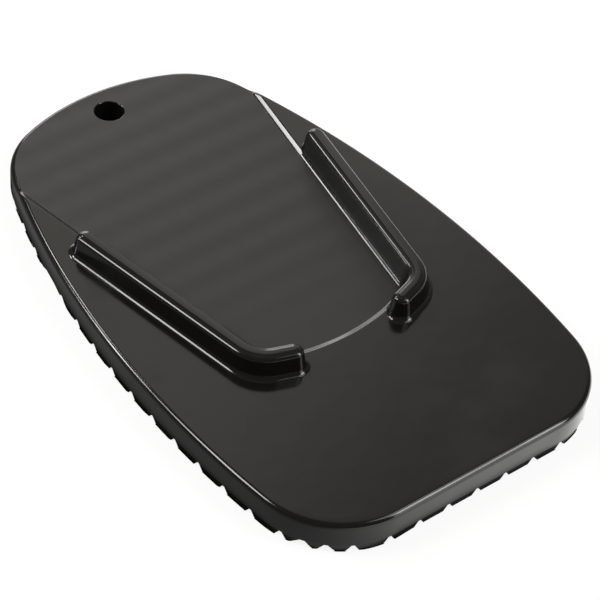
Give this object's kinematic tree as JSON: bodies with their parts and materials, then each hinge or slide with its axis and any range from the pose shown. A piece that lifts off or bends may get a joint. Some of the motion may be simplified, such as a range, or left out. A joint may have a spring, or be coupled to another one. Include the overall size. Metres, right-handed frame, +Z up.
{
  "type": "kickstand foot enlarger",
  "caption": "Flat rounded plate with a sunk field between hooked ribs that hold a kickstand foot, a cord hole at the nose and a block tread underneath.",
  "frame": {"origin": "centre of the plate's bounding box, on the ground plane under the tread blocks", "axes": "+Y along the length towards the rounded nose with the cord hole, +X across the width, +Z up from the ground"},
  "size_m": [0.093, 0.15, 0.014],
  "materials": {
    "body": "black moulded plastic, glossy on the outer face and ribs, finely grained in the sunk field and on the rim"
  },
  "bodies": {
    "root": {"stand_plate": "body"}
  },
  "joints": []
}
